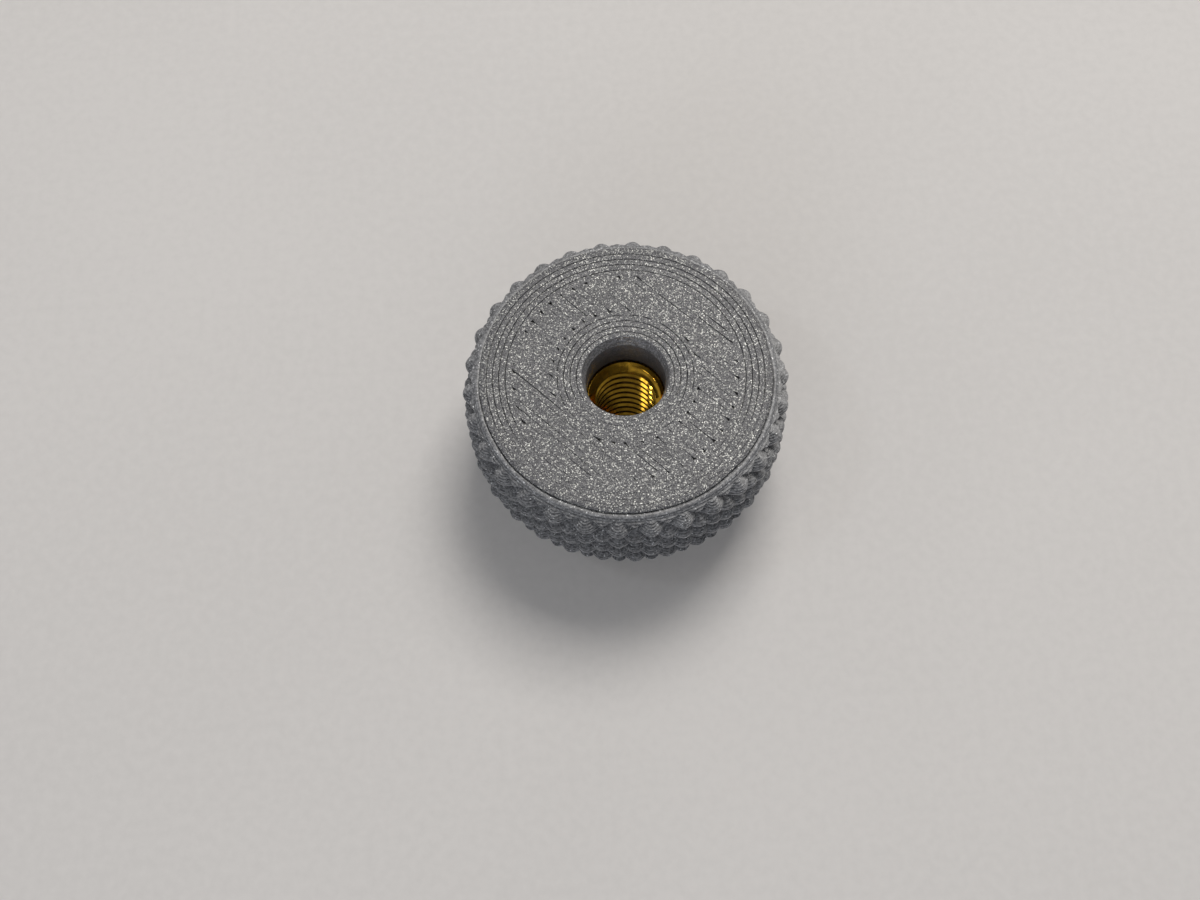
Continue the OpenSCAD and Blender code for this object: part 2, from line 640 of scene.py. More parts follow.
@dataclass
class PrintedKnob:
    """The printed body: head, hub, stud hole and the pocket for the insert."""

    bead: Bead = field(default_factory=Bead)
    steps: int = 128             # faces round the turned surfaces
    sharp: float = 38            # edges sharper than this angle stay sharp
    head_h: float = 8.0
    first_layer: float = 0.3     # the face's own layer
    ledge_h: float = 0.2         # the ledge under it
    layer: float = 0.2           # each layer after that
    layer_round: float = 0.05    # how far the edges of the hub's layers are rounded
    hub_r: float = 8.0
    hub_chamfer: float = 0.6
    hub_inset: float = 0.03      # how far the hub's last layer has drawn in at the head
    hole_r: float = 3.3
    mouth_r: float = 3.6
    mouth_depth: float = 1.1     # over which the mouth narrows to the hole
    mouth_reach: float = 0.02    # how far past the mouth the face's finish starts
    rim_round: float = 0.1
    rim_turns: Triple = (30, 60, 90)     # angles of the points on that rounded rim
    hole_notch: float = 0.03     # depth of the groove between two layers of the hole's wall
    hole_notch_half: float = 0.045       # half that groove's width
    undercut: float = 0.12       # of the hole's wall, where it meets the insert
    undercut_top: float = 0.18   # height over the insert where the undercut ends
    ledge_r: float = 12.4
    face_r: float = 11.98
    face_round: float = 0.05     # from the flat face's edge to where it starts to round off
    face_edge: tuple[Span, ...] = (      # the edge and the crease under it: out and down
        (-0.01, 0.03),
        (0.0, 0.07),
        (-0.02, 0.34),
        (0.05, 0.275),
        (0.08, 0.255),
    )
    ledge_edge: tuple[Span, ...] = (     # the ledge: out from its radius, down from the face
        (-0.09, 0.265),
        (-0.02, 0.305),
        (0.0, 0.375),
        (-0.01, 0.44),
        (-0.02, 0.5),
    )
    face_reach: float = 0.12     # how far past its edge the face's finish runs
    side_start: float = 12.3     # what lies farther out is the ledge or the knurl
    crease_half: float = 0.09    # half the width of what wanders with the crease
    crease_wave: float = 0.13    # how far it wanders
    crease_ripple: float = 0.4   # a finer wave, as a share of that
    crease_waves: Span = (4.0, 15.0)     # how quickly the two change round the face
    roughness: float = 0.02      # how unevenly the layers of the side lie
    rough_mean: float = 0.5      # share of that by which they lie in on average
    rough_size: Triple = (0.9, 0.9, 0.22)    # distances over which that changes
    closed_inside: float = 0.2   # from the face's edge in to where grooves may close
    closing_start: float = 0.05  # share of the way to the front where grooves start to close
    closing_length: float = 0.5  # share of that way over which they close
    closing_spread: float = 0.55         # how far that differs from place to place
    closing_waves: float = 3.0   # how quickly it does so
    most_closed: float = 0.96
    inner_grooves: tuple[float, ...] = (4.02, 4.53, 5.06, 5.59)
    outer_grooves: tuple[float, ...] = (9.84, 10.37, 10.88, 11.39)
    infill_inner: float = 5.95
    infill_outer: float = 9.3
    under_inner_grooves: tuple[float, ...] = (8.55, 9.1)
    under_outer_grooves: tuple[float, ...] = (11.85,)
    under_inner: float = 9.65
    under_outer: float = 11.3
    band_step: float = 0.01      # how far the wall of the sunk band of lines slopes
    pocket: tuple[Triple, ...] = (       # radius, lower end and upper end of each stretch
        (4.02, 0.0, 3.3),
        (3.52, 3.3, 4.9),
        (4.02, 4.9, 8.1),
        (3.82, 8.1, 10.1),
    )

    @property
    def foot_z(self) -> float:
        """Height of the head's underside."""
        return TOTAL_H - self.head_h

    @property
    def rim_z(self) -> float:
        """Height where the ledge ends and the knurl starts."""
        return TOTAL_H - self.first_layer - self.ledge_h

    def face_outline(
        self, grooves: Iterable[float], start: float, stop: float, z: float, facing: Facing
    ) -> Profile:
        """Return the outline of a ringed face between two radii.

        Args:
            grooves: Radius of the middle of each groove.
            start: Inner radius.
            stop: Outer radius.
            z: Height of the face.
            facing: Which way the face looks.

        Returns:
            Radius and height of each point, from the inner radius out.
        """
        points = [(start, z)]
        for middle in grooves:
            for radius, depth in self.bead.groove(middle):
                points.append((radius, z - facing.value * depth))
        return [*points, (stop, z)]

    def band(self, inner: float, outer: float, floor: float) -> Profile:
        """Return the two corners of the sunk band that straight lines fill."""
        return [(inner + self.band_step, floor), (outer - self.band_step, floor)]

    def hub_outline(self) -> Profile:
        """Draw the hub, with its layers and the rings of its end face.

        Returns:
            Radius and height of each point, from the underside of the head round to the pocket.
        """
        seat_r, end_r = self.pocket[0][0], self.hub_r - self.hub_chamfer
        rings = round((end_r - seat_r) / self.bead.width)
        pitch = (end_r - seat_r) / rings
        grooves = [seat_r + pitch * count for count in range(1, rings)]
        end_face = self.face_outline(grooves, seat_r, end_r, 0, Facing.DOWN)
        layers = round((self.foot_z - self.hub_chamfer) / self.layer)
        thick = (self.foot_z - self.hub_chamfer) / layers
        wall: Profile = []
        for count in range(layers):
            low = self.hub_chamfer + count * thick
            wall += [
                (self.hub_r - self.layer_round, low),
                (self.hub_r, low + self.layer_round),
                (self.hub_r, low + thick - self.layer_round),
            ]
        wall[0] = (self.hub_r, self.hub_chamfer)
        wall.append((self.hub_r - self.hub_inset, self.foot_z))
        return list(reversed(wall)) + list(reversed(end_face))

    def underside_outline(self) -> Profile:
        """Draw the head's underside, with its rings and its sunk band.

        Returns:
            Radius and height of each point, from the knurl in to the hub.
        """
        z, facing = self.foot_z, Facing.DOWN
        inner = self.face_outline(
            self.under_inner_grooves, self.hub_r, self.under_inner, z, facing
        )
        outer = self.face_outline(
            self.under_outer_grooves, self.under_outer, self.ledge_r, z, facing
        )
        band = self.band(self.under_inner, self.under_outer, z + self.bead.height)
        return list(reversed(inner + band + outer))

    def wall_r(self, z: float) -> float:
        """Return the radius of the hole's wall at a height."""
        flared = max(0, 1 - (TOTAL_H - z) / self.mouth_depth)
        return self.hole_r + (self.mouth_r - self.hole_r) * flared

    def hole_outline(self) -> Profile:
        """Draw the pocket and the hole, with the hole's layers and its rounded rim.

        Returns:
            Radius and height of each point, from the hub's end face up to the flat face.
        """
        points: Profile = []
        for radius, low, high in self.pocket:
            points += [(radius, low), (radius, high)]
        points = points[1:]
        seat, back = self.pocket[-1][2], self.hole_r + self.undercut
        points += [
            (back, seat),
            (back, seat + self.undercut),
            (self.hole_r, seat + self.undercut_top),
        ]
        half = self.hole_notch_half
        lowest = math.floor((self.rim_z - seat - 2 * self.undercut) / self.layer)
        levels = [self.rim_z - self.layer * count for count in range(lowest, -1, -1)]
        for z in [*levels, TOTAL_H - self.first_layer]:
            points += [
                (self.wall_r(z - half), z - half),
                (self.wall_r(z) + self.hole_notch, z),
                (self.wall_r(z + half), z + half),
            ]
        top = TOTAL_H - self.rim_round
        points.append((self.wall_r(top), top))
        for turn in self.rim_turns:
            angle = math.radians(turn)
            radius = self.wall_r(top) + self.rim_round * (1 - math.cos(angle))
            points.append((radius, top + self.rim_round * math.sin(angle)))
        return points

    def top_outline(self) -> Profile:
        """Draw the flat face, the crease round it and the ledge.

        Returns:
            Radius and height of each point, from the hole's rim out to the ledge's foot.
        """
        rim = self.wall_r(TOTAL_H - self.rim_round) + self.rim_round
        stop = self.face_r - self.face_round
        inner = self.face_outline(
            self.inner_grooves, rim, self.infill_inner, TOTAL_H, Facing.UP
        )
        outer = self.face_outline(
            self.outer_grooves, self.infill_outer, stop, TOTAL_H, Facing.UP
        )
        band = self.band(self.infill_inner, self.infill_outer, TOTAL_H - self.bead.height)
        edge = [(self.face_r + out, TOTAL_H - down) for out, down in self.face_edge]
        edge += [(self.ledge_r + out, TOTAL_H - down) for out, down in self.ledge_edge]
        return inner[1:] + band + outer + edge

    def close_grooves(self, piece: bpy.types.Object) -> None:
        """Close up parts of the flat face's grooves, above all towards the front.

        Args:
            piece: The knob's mesh object.
        """
        depths = (self.bead.groove_depth, self.bead.cleft_depth)
        for point in piece.data.vertices:
            radius = point.co.xy.length
            low = min(abs(TOTAL_H - depth - point.co.z) for depth in depths) < NEAR
            if low and radius < self.face_r - self.closed_inside:
                across, front = point.co.x / radius, -point.co.y / radius
                nearness = clamp((front - self.closing_start) / self.closing_length)
                scale = self.closing_waves
                change = wander(radius * scale, across * scale, -front * scale)
                closed = clamp(nearness + self.closing_spread * change, 0, self.most_closed)
                point.co.z += closed * (TOTAL_H - point.co.z)

    def bend_crease(self, piece: bpy.types.Object) -> None:
        """Let the crease round the flat face wander in and out.

        Args:
            piece: The knob's mesh object.
        """
        slow, quick = self.crease_waves
        for point in piece.data.vertices:
            radius = point.co.xy.length
            if abs(radius - self.face_r) < self.crease_half:
                x, y = point.co.x / radius, point.co.y / radius
                wave = wander(slow * x, slow * y)
                wave += self.crease_ripple * wander(quick * x, quick * y)
                point.co.x *= 1 + self.crease_wave * wave / radius
                point.co.y *= 1 + self.crease_wave * wave / radius

    def roughen(self, piece: bpy.types.Object) -> None:
        """Let the layers of the knurled side and of the ledge lie a little unevenly.

        Args:
            piece: The knob's mesh object.
        """
        for point in piece.data.vertices:
            radius = point.co.xy.length
            if radius > self.side_start:
                uneven = wander(*(at / size for at, size in zip(point.co, self.rough_size)))
                share = 1 - self.roughness * (self.rough_mean + uneven) / radius
                point.co.x *= share
                point.co.y *= share

    def on_side(self, *heights: float) -> Callable[[Vector], bool]:
        """Return a test of whether a place is on the ledge or the knurl at one of some heights."""
        return lambda place: place.xy.length > self.side_start and any(
            abs(place.z - height) < NEAR for height in heights
        )

    def build(self) -> bpy.types.Object:
        """Build the whole knob.

        Returns:
            The mesh object, in metres.
        """
        outline = self.underside_outline() + self.hub_outline()[1:]
        outline += self.hole_outline() + self.top_outline()
        body = lathe("printed_knob", outline, self.steps)
        self.close_grooves(body)
        self.bend_crease(body)
        knurl = Knurl(self.rim_z, self.foot_z, self.layer)
        body = join([body, knurl.build()])
        bridge(body, self.on_side(self.rim_z, knurl.rings()[0].z))
        bridge(body, self.on_side(self.foot_z))
        self.roughen(body)
        mend(body, merge=False)
        face = Infill("face_infill", self.infill_inner, self.infill_outer, self.bead, TOTAL_H)
        under = Infill(
            "under_infill",
            self.under_inner,
            self.under_outer,
            self.bead,
            self.foot_z,
            facing=Facing.DOWN,
        )
        body = join([body, face.build(), under.build()])
        finish_mesh(body, self.sharp)
        return body

    def dress(
        self,
        piece: bpy.types.Object,
        side: bpy.types.Material,
        face: bpy.types.Material,
        hole: bpy.types.Material,
    ) -> None:
        """Give the knob its finishes, and the painted shade in its hole.

        Args:
            piece: The knob's mesh object.
            side: The finish of its knurled side, its hub and its underside.
            face: The finish of its flat face.
            hole: The hole's wall below its flared mouth, given a darker copy of the plastic as
                painted shade.
        """
        for material in (side, face, hole):
            piece.data.materials.append(material)
        face_low = (TOTAL_H - self.bead.height - self.rim_round) * MM
        face_out = (self.face_r + self.face_reach) * MM
        mouth = (self.mouth_r + self.mouth_reach) * MM
        seat = (self.pocket[-1][2] + NEAR) * MM
        flare_low = (TOTAL_H - self.mouth_depth) * MM
        for polygon in piece.data.polygons:
            across, height = polygon.center.xy.length, polygon.center.z
            if height > face_low and mouth < across < face_out:
                polygon.material_index = 1
            # Painted shade: the hole's wall below its mouth takes the darker plastic.
            elif seat < height < flare_low and across < mouth:
                polygon.material_index = 2


# ---------------------------------------------------------------- the brass insert


@dataclass
class BrassInsert:
    """The knurled brass bush with its tapped bore."""

    steps: int = 144             # faces round the bush, a whole number for each tooth
    sharp: float = 25            # edges sharper than this angle stay sharp
    tooth_count: int = 36
    tooth_h: float = 0.25
    band_l: float = 3.2
    neck_l: float = 1.6
    neck_r: float = 3.5
    nose_r: float = 3.8
    edge: float = 0.12           # chamfer on the edges of the toothed bands
    pitch: float = 1.0
    minor_r: float = 2.5
    major_r: float = 2.93
    crest: float = 0.38          # width of the lands between the thread's grooves
    root: float = 0.24           # width of the thread's groove at its bottom
    land_reach: float = 0.03     # how far the lands may stand back from the bore
    land_slope: float = 0.3      # how steep a face of a land may be
    thread_turns: int = 14
    spare_turns: int = 2         # of those, the ones that start below the bush
    thread_steps: int = 72       # faces in one turn of the thread
    first_crest: float = 8.53    # height of a crest on the far side of the bore
    sink_r: float = 3.14
    sink_overrun: float = 1.0    # how far the countersink's cutter runs on past the bush
    lip: float = 0.03            # width of the flat rim round the countersink
    nose_drop: float = 0.5       # how far the rounded nose falls away outside that rim

    def toothed_band(self, low: float, high: float) -> Profile:
        """Return the outline of one band, chamfered at both ends."""
        inner, outer = INSERT_R - self.edge, INSERT_R
        return [(inner, low), (outer, low + self.edge), (outer, high - self.edge), (inner, high)]

    def bush(self) -> bpy.types.Object:
        """Turn the solid bush and cut the teeth of its two bands.

        Returns:
            The mesh object, without its bore.
        """
        neck_low = INSERT_LOW + self.band_l
        neck_high = neck_low + self.neck_l
        nose_low = neck_high + self.band_l
        outline = [
            (0, INSERT_LOW),
            *self.toothed_band(INSERT_LOW, neck_low),
            (self.neck_r, neck_low),
            (self.neck_r, neck_high),
            *self.toothed_band(neck_high, nose_low),
            (self.nose_r, nose_low),
            (self.nose_r, INSERT_TOP - self.nose_drop),
            (self.sink_r + self.lip, INSERT_TOP),
            (0, INSERT_TOP),
        ]
        bush = lathe("brass_insert", outline, self.steps)
        columns = self.steps // self.tooth_count
        root_r = INSERT_R - self.tooth_h

        def in_gap(place: Vector) -> bool:
            """Say whether a point of a band lies between two teeth."""
            turn = math.atan2(place.y, place.x) / math.tau * self.steps
            return place.xy.length > root_r and round(turn) % columns >= columns // 2

        pick_points(bush, in_gap)
        share = root_r / INSERT_R
        bpy.ops.transform.resize(value=(share, share, 1), center_override=(0, 0, 0))
        bpy.ops.object.mode_set(mode="OBJECT")
        return bush

    def thread_rod(self) -> bpy.types.Object:
        """Make the solid that the tap cuts away: a rod with the thread's ridge round it.

        Returns:
            The mesh object.
        """
        flank = (self.pitch - self.crest - self.root) / 2
        quarter_turn = self.pitch / 4
        start = self.first_crest - quarter_turn + self.crest / 2
        start -= self.pitch * math.ceil((start - INSERT_LOW) / self.pitch + self.spare_turns)
        outline = [
            (self.minor_r, start),
            (self.major_r, start + flank),
            (self.major_r, start + flank + self.root),
            (self.minor_r, start + 2 * flank + self.root),
            (self.minor_r, start + self.pitch),
        ]
        rod = draw_outline("thread_rod", outline)
        bpy.ops.object.mode_set(mode="OBJECT")
        apply_modifier(
            rod,
            "SCREW",
            axis="Z",
            screw_offset=self.pitch,
            iterations=self.thread_turns,
            steps=self.thread_steps,
            render_steps=self.thread_steps,
            use_merge_vertices=False,
        )
        edit_all(rod)
        bpy.ops.mesh.remove_doubles(threshold=NEAR)
        for end in End:
            self.close_end(rod, start + self.pitch * self.thread_turns / 2, end)
        mend(rod, merge=False)
        return rod

    def close_end(self, rod: bpy.types.Object, middle: float, end: End) -> None:
        """Close one open end of the rod with a fan of faces.

        Args:
            rod: The rod's mesh object, which is left in edit mode.
            middle: Height half-way along the rod.
            end: The end that is closed.
        """
        pick(rod)
        bpy.ops.object.mode_set(mode="EDIT")
        bpy.ops.mesh.select_mode(type="VERT")
        bpy.ops.mesh.select_all(action="DESELECT")
        bpy.ops.mesh.select_non_manifold(
            extend=False,
            use_wire=False,
            use_boundary=True,
            use_multi_face=False,
            use_non_contiguous=False,
            use_verts=False,
        )
        bpy.ops.object.mode_set(mode="OBJECT")
        points, low_end = rod.data.vertices, end is End.LOW
        for edge in rod.data.edges:
            if edge.select and (points[edge.vertices[0]].co.z < middle) != low_end:
                edge.select = False
        for point in points:
            point.select = point.select and (point.co.z < middle) == low_end
        bpy.ops.object.mode_set(mode="EDIT")
        bpy.ops.mesh.extrude_edges_move()
        bpy.ops.mesh.merge(type="CENTER")

    def countersink(self, end: End) -> bpy.types.Object:
        """Make the cone that is cut out of one end of the bore.

        Args:
            end: The end that it is for.

        Returns:
            The mesh object.
        """
        low_end = end is End.LOW
        wide, narrow = self.sink_r + self.sink_overrun, self.minor_r
        depth = wide - narrow
        mouth = INSERT_LOW - self.sink_overrun if low_end else INSERT_TOP + self.sink_overrun
        clear_selection()
        bpy.ops.mesh.primitive_cone_add(
            vertices=self.steps,
            radius1=wide if low_end else narrow,
            radius2=narrow if low_end else wide,
            depth=depth,
            location=(0, 0, mouth + (depth if low_end else -depth) / 2),
        )
        cone = name_active("countersink")
        bpy.ops.object.transform_apply(location=True, rotation=True, scale=True)
        return cone

    def build(self) -> bpy.types.Object:
        """Build the whole insert.

        Returns:
            The mesh object, in metres.
        """
        bush = self.bush()
        cut_away(bush, self.thread_rod())
        for end in End:
            cut_away(bush, self.countersink(end))
        finish_mesh(bush, self.sharp)
        return bush

    def dress(
        self, piece: bpy.types.Object, bright: bpy.types.Material, shaded_land: bpy.types.Material
    ) -> None:
        """Give the insert its finishes, and the painted shade on the thread's lands.

        Args:
            piece: The insert's mesh object.
            bright: The finish of its turned faces and of the thread's flanks.
            shaded_land: The lands between the thread's grooves, given darker brass as painted
                shade.
        """
        piece.data.materials.append(bright)
        piece.data.materials.append(shaded_land)
        land_r = (self.minor_r + self.land_reach) * MM
        for polygon in piece.data.polygons:
            level = abs(polygon.normal.z) < self.land_slope
            # Painted shade: the lands at the bore take the darker brass.
            polygon.material_index = 1 if level and polygon.center.xy.length < land_r else 0


# ---------------------------------------------------------------- finishes


class Nodes:
    """A small helper that adds nodes to a tree and links them."""

    def __init__(self, tree: bpy.types.NodeTree) -> None:
        """Start from an empty tree."""
        self.tree = tree
        tree.nodes.clear()

    def add(self, kind: str, **settings: object) -> bpy.types.Node:
        """Add a node, set its properties and link or set its inputs.

        Args:
            kind: Blender's name for the kind of node.
            **settings: A property by its name, or an input as in_NAME or in_NUMBER, which is
                given a value or another node's output.

        Returns:
            The new node.
        """
        node = self.tree.nodes.new(kind)
        for key, value in settings.items():
            if not key.startswith("in_"):
                setattr(node, key, value)
        for key, value in settings.items():
            if key.startswith("in_"):
                name = key[3:]
                socket = node.inputs[int(name) if name.isdigit() else name.replace("_", " ")]
                if isinstance(value, bpy.types.NodeSocket):
                    self.tree.links.new(value, socket)
                else:
                    socket.default_value = value
        return node

    def maths(self, operation: str, *values: object) -> bpy.types.NodeSocket:
        """Add a Math node and return its output."""
        inputs = {f"in_{count}": value for count, value in enumerate(values)}
        return self.add("ShaderNodeMath", operation=operation, **inputs).outputs[0]

    def spread(self, value: object, source: Span, target: Span) -> bpy.types.NodeSocket:
        """Map a value from one range to another, with a soft start and end.

        Args:
            value: The value's socket.
            source: The range that it is taken from.
            target: The range that it is mapped to.

        Returns:
            The mapped value's socket.
        """
        inputs = {f"in_{count + 1}": limit for count, limit in enumerate((*source, *target))}
        node = self.add(
            "ShaderNodeMapRange", interpolation_type="SMOOTHSTEP", in_0=value, **inputs
        )
        return node.outputs[0]

    def blend(self, share: object, first: object, second: object) -> bpy.types.NodeSocket:
        """Mix two colours by the share of the second and return the result."""
        mix = self.add("ShaderNodeMix", data_type="RGBA", in_0=share, in_6=first, in_7=second)
        return mix.outputs[2]

    def multiply(self, colour: object, level: object) -> bpy.types.NodeSocket:
        """Multiply a colour by a level.

        Args:
            colour: The colour, or its socket.
            level: The level's socket.

        Returns:
            The new colour's socket.
        """
        grey = self.add("ShaderNodeCombineColor", in_0=level, in_1=level, in_2=level)
        mix = self.add(
            "ShaderNodeMix",
            data_type="RGBA",
            blend_type="MULTIPLY",
            in_0=1.0,
            in_6=colour,
            in_7=grey.outputs[0],
        )
        return mix.outputs[2]

    def millimetres(self) -> bpy.types.NodeSocket:
        """Return the place on the piece in millimetres."""
        place = self.add("ShaderNodeTexCoord").outputs["Object"]
        return self.add("ShaderNodeMapping", in_Vector=place, in_Scale=(1 / MM,) * 3).outputs[0]


def new_material(name: str) -> tuple[bpy.types.Material, Nodes]:
    """Make a material with an empty node tree.

    Args:
        name: The material's name.

    Returns:
        The material, and a helper for its nodes.
    """
    material = bpy.data.materials.new(name)
    material.use_nodes = True
    return material, Nodes(material.node_tree)


def new_group(name: str, inputs: dict[str, float], outputs: list[str]) -> bpy.types.NodeTree:
    """Make an empty shader group with a Place input.

    Args:
        name: The group's name.
        inputs: Name and usual value of each number that goes in.
        outputs: Name of each number that comes out.

    Returns:
        The group's tree.
    """
    group = bpy.data.node_groups.new(name, "ShaderNodeTree")
    group.interface.new_socket("Place", in_out="INPUT", socket_type="NodeSocketVector")
    for socket, value in inputs.items():
        made = group.interface.new_socket(socket, in_out="INPUT", socket_type="NodeSocketFloat")
        made.default_value = value
    for socket in outputs:
        group.interface.new_socket(socket, in_out="OUTPUT", socket_type="NodeSocketFloat")
    return group


def mottle_group() -> bpy.types.NodeTree:
    """Build the soft patchiness that every finish has: large and small noise in one mask.

    Returns:
        The group's tree.
    """
    group = new_group("mottle", {"Patch": 0.3, "Grain": 4.0}, ["Mask"])
    nodes = Nodes(group)
    given = nodes.add("NodeGroupInput").outputs
    patch = nodes.add("ShaderNodeTexNoise", in_Vector=given["Place"], in_Scale=given["Patch"])
    grain = nodes.add("ShaderNodeTexNoise", in_Vector=given["Place"], in_Scale=given["Grain"])
    total = nodes.maths("ADD", patch.outputs[0], grain.outputs[0])
    nodes.add("NodeGroupOutput", in_Mask=nodes.maths("MULTIPLY", total, 0.5))
    return group


def glitter_group() -> bpy.types.NodeTree:
    """Build the mica flakes in the plastic: ragged specks, each with its own brightness.

    Returns:
        The group's tree.
    """
    raggedness = 1.3             # how far noise shifts a flake's edge, in flakes
    noise_mean = (0.5, 0.5, 0.5)
    group = new_group(
        "glitter", {"Flakes per mm": 8.0, "Share": 0.2, "Size": 0.4}, ["Speck", "Tone"]
    )
    nodes = Nodes(group)
    given = nodes.add("NodeGroupInput").outputs
    place, flakes = given["Place"], given["Flakes per mm"]
    ragged = nodes.add("ShaderNodeTexNoise", in_Vector=place, in_Scale=flakes, in_Detail=1.0)
    shift = nodes.add(
        "ShaderNodeVectorMath",
        operation="SUBTRACT",
        in_0=ragged.outputs["Color"],
        in_1=noise_mean,
    )
    moved = nodes.add(
        "ShaderNodeVectorMath",
        operation="SCALE",
        in_0=shift.outputs[0],
        in_Scale=nodes.maths("DIVIDE", raggedness, flakes),
    )
    torn = nodes.add("ShaderNodeVectorMath", operation="ADD", in_0=place, in_1=moved.outputs[0])
    cells = nodes.add("ShaderNodeTexVoronoi", in_Vector=torn.outputs[0], in_Scale=flakes)
    chance = nodes.add("ShaderNodeSeparateColor", in_Color=cells.outputs["Color"]).outputs
    picked = nodes.maths("LESS_THAN", chance[0], given["Share"])
    inside = nodes.maths("LESS_THAN", cells.outputs["Distance"], given["Size"])
    speck = nodes.maths("MULTIPLY", picked, inside)
    nodes.add("NodeGroupOutput", in_Speck=speck, in_Tone=chance[1])
    return group


@dataclass(frozen=True)
class PlasticFinish:
    """Silver-grey plastic filled with fine glitter; a darker copy with dimmer flakes paints the
    shade in the hole.
    """

    name: str
    colour: Colour
    shade: Colour                # the darker tone of its grain
    spark: Colour                # the flakes that catch the light
    roughness: float
    flake_share: float
    flake_size: float
    flakes_per_mm: float
    grain: float                 # grains of the surface in a millimetre
    grain_depth: float
    grain_range: Span = (0.38, 0.64)     # of the grain's noise, from shade to colour
    patch: float = 0.35          # soft patches in a millimetre
    patch_grain: float = 3.0     # and the finer ones in them
    patch_range: Span = (0.35, 0.65)     # of their mask, from darkest to lightest
    patch_level: Span = (0.88, 1.08)     # brightness of those two
    gleam_power: float = 1.5     # a higher power leaves fewer bright flakes
    flake_polish: float = 0.3    # the brightest flake's roughness, as a share of the rest's
    bump_strength: float = 0.6
    specular: float = 0.55

    def build(self, mottle: bpy.types.NodeTree, glitter: bpy.types.NodeTree) -> bpy.types.Material:
        """Build the material from the shared groups.

        Args:
            mottle: The group that makes the soft patches.
            glitter: The group that makes the flakes.

        Returns:
            The material.
        """
        material, nodes = new_material(self.name)
        place = nodes.millimetres()
        patches = nodes.add(
            "ShaderNodeGroup",
            node_tree=mottle,
            in_Place=place,
            in_Patch=self.patch,
            in_Grain=self.patch_grain,
        )
        flakes = nodes.add(
            "ShaderNodeGroup",
            node_tree=glitter,
            in_Place=place,
            in_Flakes_per_mm=self.flakes_per_mm,
            in_Share=self.flake_share,
            in_Size=self.flake_size,
        ).outputs
        grain = nodes.add(
            "ShaderNodeTexNoise",
            in_Vector=place,
            in_Scale=self.grain,
            in_Detail=2.0,
            in_Roughness=0.7,
        ).outputs[0]
        body = nodes.blend(nodes.spread(grain, self.grain_range, (0, 1)), self.shade, self.colour)
        cloud = nodes.spread(patches.outputs[0], self.patch_range, self.patch_level)
        bright = nodes.maths("POWER", flakes["Tone"], self.gleam_power)
        gleam = nodes.maths("MULTIPLY", flakes["Speck"], bright)
        polish = (self.roughness, self.flake_polish * self.roughness)
        bump = nodes.add(
            "ShaderNodeBump",
            in_Strength=self.bump_strength,
            in_Distance=self.grain_depth * MM,
            in_Height=nodes.maths("ADD", grain, flakes["Tone"]),
        )
        shader = nodes.add(
            "ShaderNodeBsdfPrincipled",
            in_Base_Color=nodes.blend(gleam, nodes.multiply(body, cloud), self.spark),
            in_Roughness=nodes.spread(gleam, (0, 1), polish),
            in_Specular_IOR_Level=self.specular,
            in_Normal=bump.outputs[0],
        )
        nodes.add("ShaderNodeOutputMaterial", in_Surface=shader.outputs[0])
        return material


@dataclass(frozen=True)
class BrassFinish:
    """Bright turned brass, with the fine rings that the tool left, and its darker copy that paints
    shade on the thread's lands.
    """

    name: str
    colour: Colour
    # real tarnish on the bright brass; on the lands' copy, a darker tone of the painted shade
    tarnish_and_shade: Colour
    roughness: float
    ring_spacing: float = 0.05   # between two tool marks
    ring_depth: float = 0.001
    ring_range: Span = (0.3, 0.7)        # of the tool marks' noise
    ring_polish: Span = (0.7, 1.4)       # roughness at its ends, as a share of the usual
    bump_strength: float = 0.5
    patch: float = 0.5           # soft patches in a millimetre
    patch_grain: float = 2.5     # and the finer ones in them
    tarnish_range: Span = (0.42, 0.7)    # of their mask, from the colour to the tarnish, which on the lands is a darker painted shade

    def build(self, mottle: bpy.types.NodeTree) -> bpy.types.Material:
        """Build the material, its tool marks following the distance from the axis.

        Args:
            mottle: The group that makes the soft patches.

        Returns:
            The material.
        """
        material, nodes = new_material(self.name)
        place = nodes.millimetres()
        patches = nodes.add(
            "ShaderNodeGroup",
            node_tree=mottle,
            in_Place=place,
            in_Patch=self.patch,
            in_Grain=self.patch_grain,
        )
        axes = nodes.add("ShaderNodeSeparateXYZ", in_0=place).outputs
        flat = nodes.add("ShaderNodeCombineXYZ", in_0=axes[0], in_1=axes[1])
        radius = nodes.add("ShaderNodeVectorMath", operation="LENGTH", in_0=flat.outputs[0])
        rings = nodes.add("ShaderNodeCombineXYZ", in_0=radius.outputs["Value"], in_2=axes[2])
        marks = nodes.add(
            "ShaderNodeTexNoise", in_Vector=rings.outputs[0], in_Scale=1 / self.ring_spacing / 2
        ).outputs[0]
        tarnish_and_shade_share = nodes.spread(patches.outputs[0], self.tarnish_range, (0, 1))
        low, high = self.ring_polish
        polish = (low * self.roughness, high * self.roughness)
        bump = nodes.add(
            "ShaderNodeBump",
            in_Strength=self.bump_strength,
            in_Distance=self.ring_depth * MM,
            in_Height=marks,
        )
        shader = nodes.add(
            "ShaderNodeBsdfPrincipled",
            in_Base_Color=nodes.blend(tarnish_and_shade_share, self.colour, self.tarnish_and_shade),
            in_Metallic=1.0,
            in_Roughness=nodes.spread(marks, self.ring_range, polish),
            in_Normal=bump.outputs[0],
        )
        nodes.add("ShaderNodeOutputMaterial", in_Surface=shader.outputs[0])
        return material


